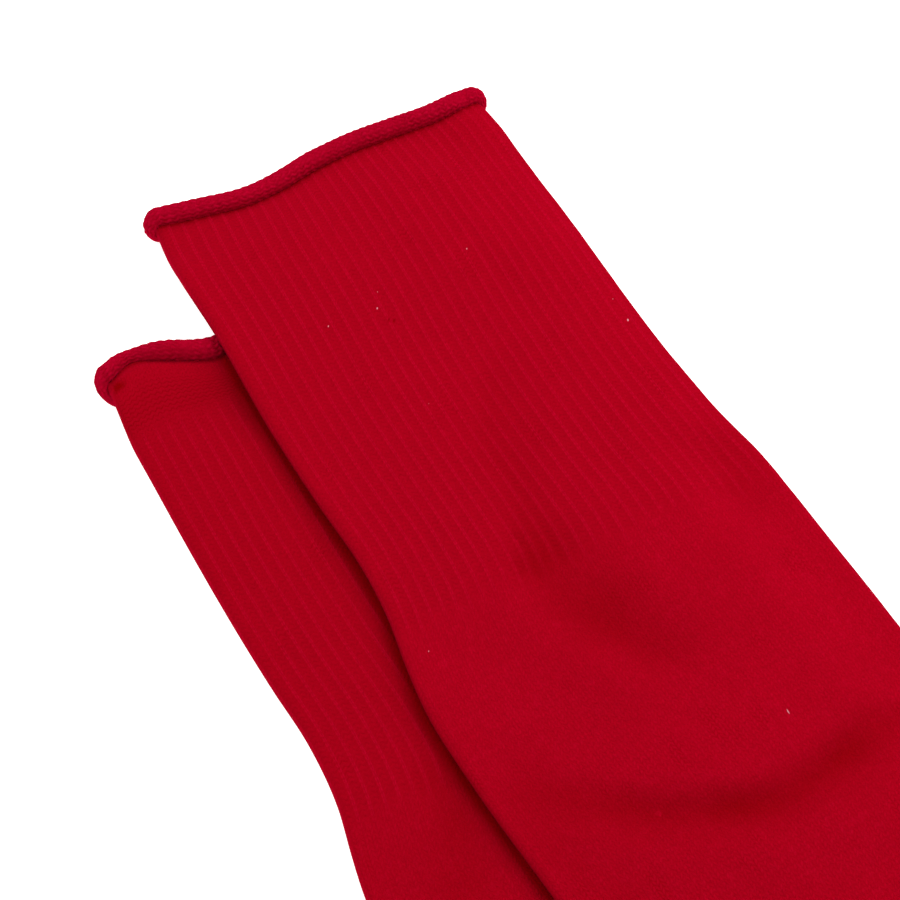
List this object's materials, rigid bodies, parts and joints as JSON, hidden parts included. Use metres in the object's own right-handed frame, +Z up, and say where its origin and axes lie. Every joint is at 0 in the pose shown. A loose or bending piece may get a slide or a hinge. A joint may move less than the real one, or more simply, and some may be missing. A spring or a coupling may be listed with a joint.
{
  "type": "pair of football socks",
  "caption": "Pair of knee-high football socks with rolled edges and ribbed tops, laid flat one over the other.",
  "frame": {"origin": "middle of the underside of the pair's bounding box, on the surface that the socks lie on", "axes": "+X along the legs from the rolled edges towards the feet, +Y across the legs away from the side that the toes point to, +Z up"},
  "size_m": [0.5152, 0.2644, 0.0113],
  "materials": {
    "red_knit": "matt deep red cotton and nylon knit, ribbed at the top, with a faint pink sheen at grazing angles"
  },
  "bodies": {
    "root": {"LowerSock": "red_knit", "UpperSock": "red_knit"}
  },
  "joints": []
}
